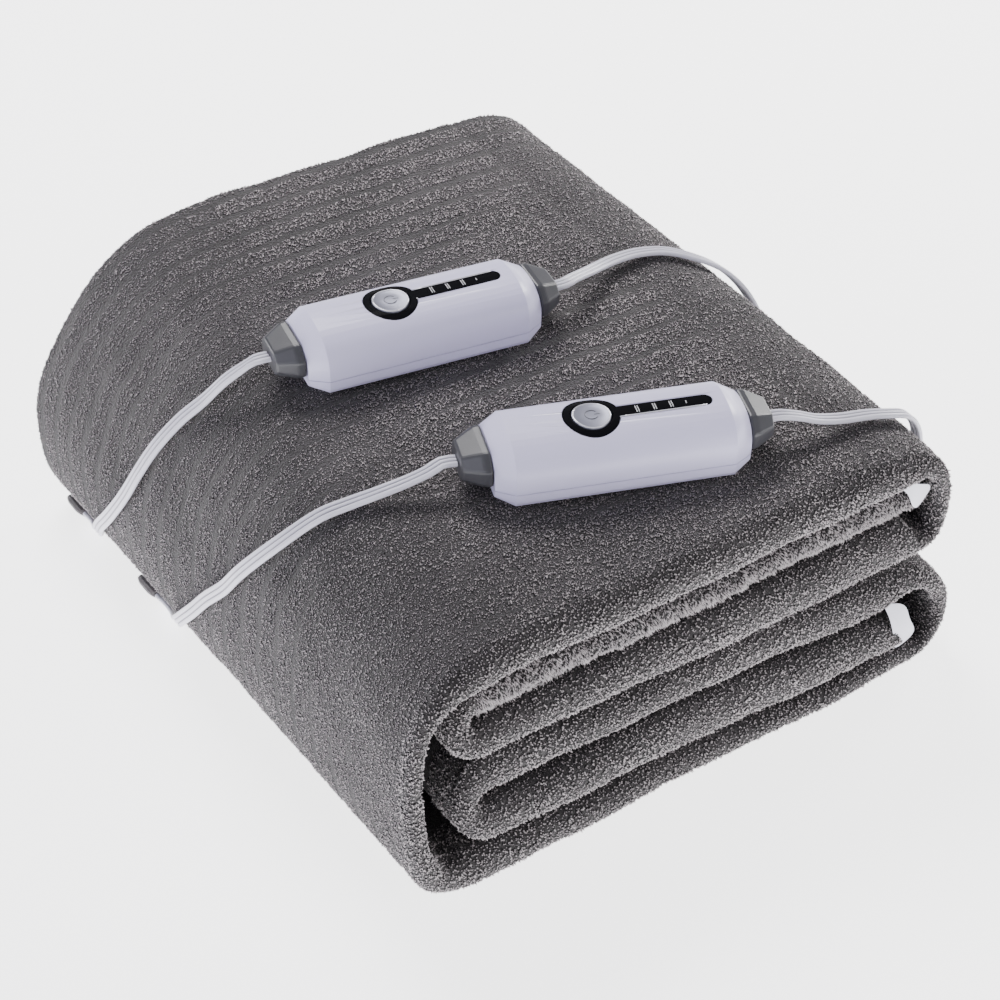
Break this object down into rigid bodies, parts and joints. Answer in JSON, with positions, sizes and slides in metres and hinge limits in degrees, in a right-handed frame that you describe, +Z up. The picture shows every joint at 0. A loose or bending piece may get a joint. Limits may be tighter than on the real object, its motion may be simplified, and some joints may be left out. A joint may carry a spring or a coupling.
{
  "type": "folded heated mattress pad with two in-line controllers",
  "caption": "Folded grey plush heated mattress pad with in-line controllers resting on top and flat leads to hanked mains plugs.",
  "frame": {"origin": "on the ground, under the middle of the folded pad with its controllers, the cords left out", "axes": "+X to the right along the folded section, +Y from the near rolled edges to the open back, +Z up"},
  "size_m": [0.3615, 0.3848, 0.1617],
  "materials": {
    "plush": "short grey plush",
    "shell": "satin off-white moulded plastic",
    "sleeve": "dark grey faceted rubber sleeve",
    "window": "glossy black indicator window",
    "button": "silver-painted button",
    "lead": "off-white vinyl, flat ribbed lead and moulded plug",
    "blade": "plain metal blades",
    "label": "blank white woven label"
  },
  "bodies": {
    "pad": {"pad": "plush", "upper_label": "label", "lower_label": "label", "front_upper_shell": "shell", "front_lower_shell": "shell", "front_window": "window", "front_left_sleeve": "sleeve", "front_right_sleeve": "sleeve", "front_pad_lead": "lead", "front_gland": "lead", "front_mains_lead": "lead", "front_hank": "lead", "front_tail": "lead", "front_plug": "lead", "front_blade_low": "blade", "front_blade_high": "blade", "back_upper_shell": "shell", "back_lower_shell": "shell", "back_window": "window", "back_left_sleeve": "sleeve", "back_right_sleeve": "sleeve", "back_pad_lead": "lead", "back_gland": "lead", "back_mains_lead": "lead", "back_hank": "lead", "back_tail": "lead", "back_plug": "lead", "back_blade_low": "blade", "back_blade_high": "blade"},
    "front_button": {"front_button": "button"},
    "back_button": {"back_button": "button"}
  },
  "joints": [
    {"name": "front_press", "type": "slide", "parent": "pad", "child": "front_button", "axis": [0.0008, 0.0431, -0.9991], "range_m": [0, 0.0006], "stiffness_N_per_m": 1000, "springref_m": -0.001},
    {"name": "back_press", "type": "slide", "parent": "pad", "child": "back_button", "axis": [0.0078, 0.0433, -0.999], "range_m": [0, 0.0006], "stiffness_N_per_m": 1000, "springref_m": -0.001}
  ]
}
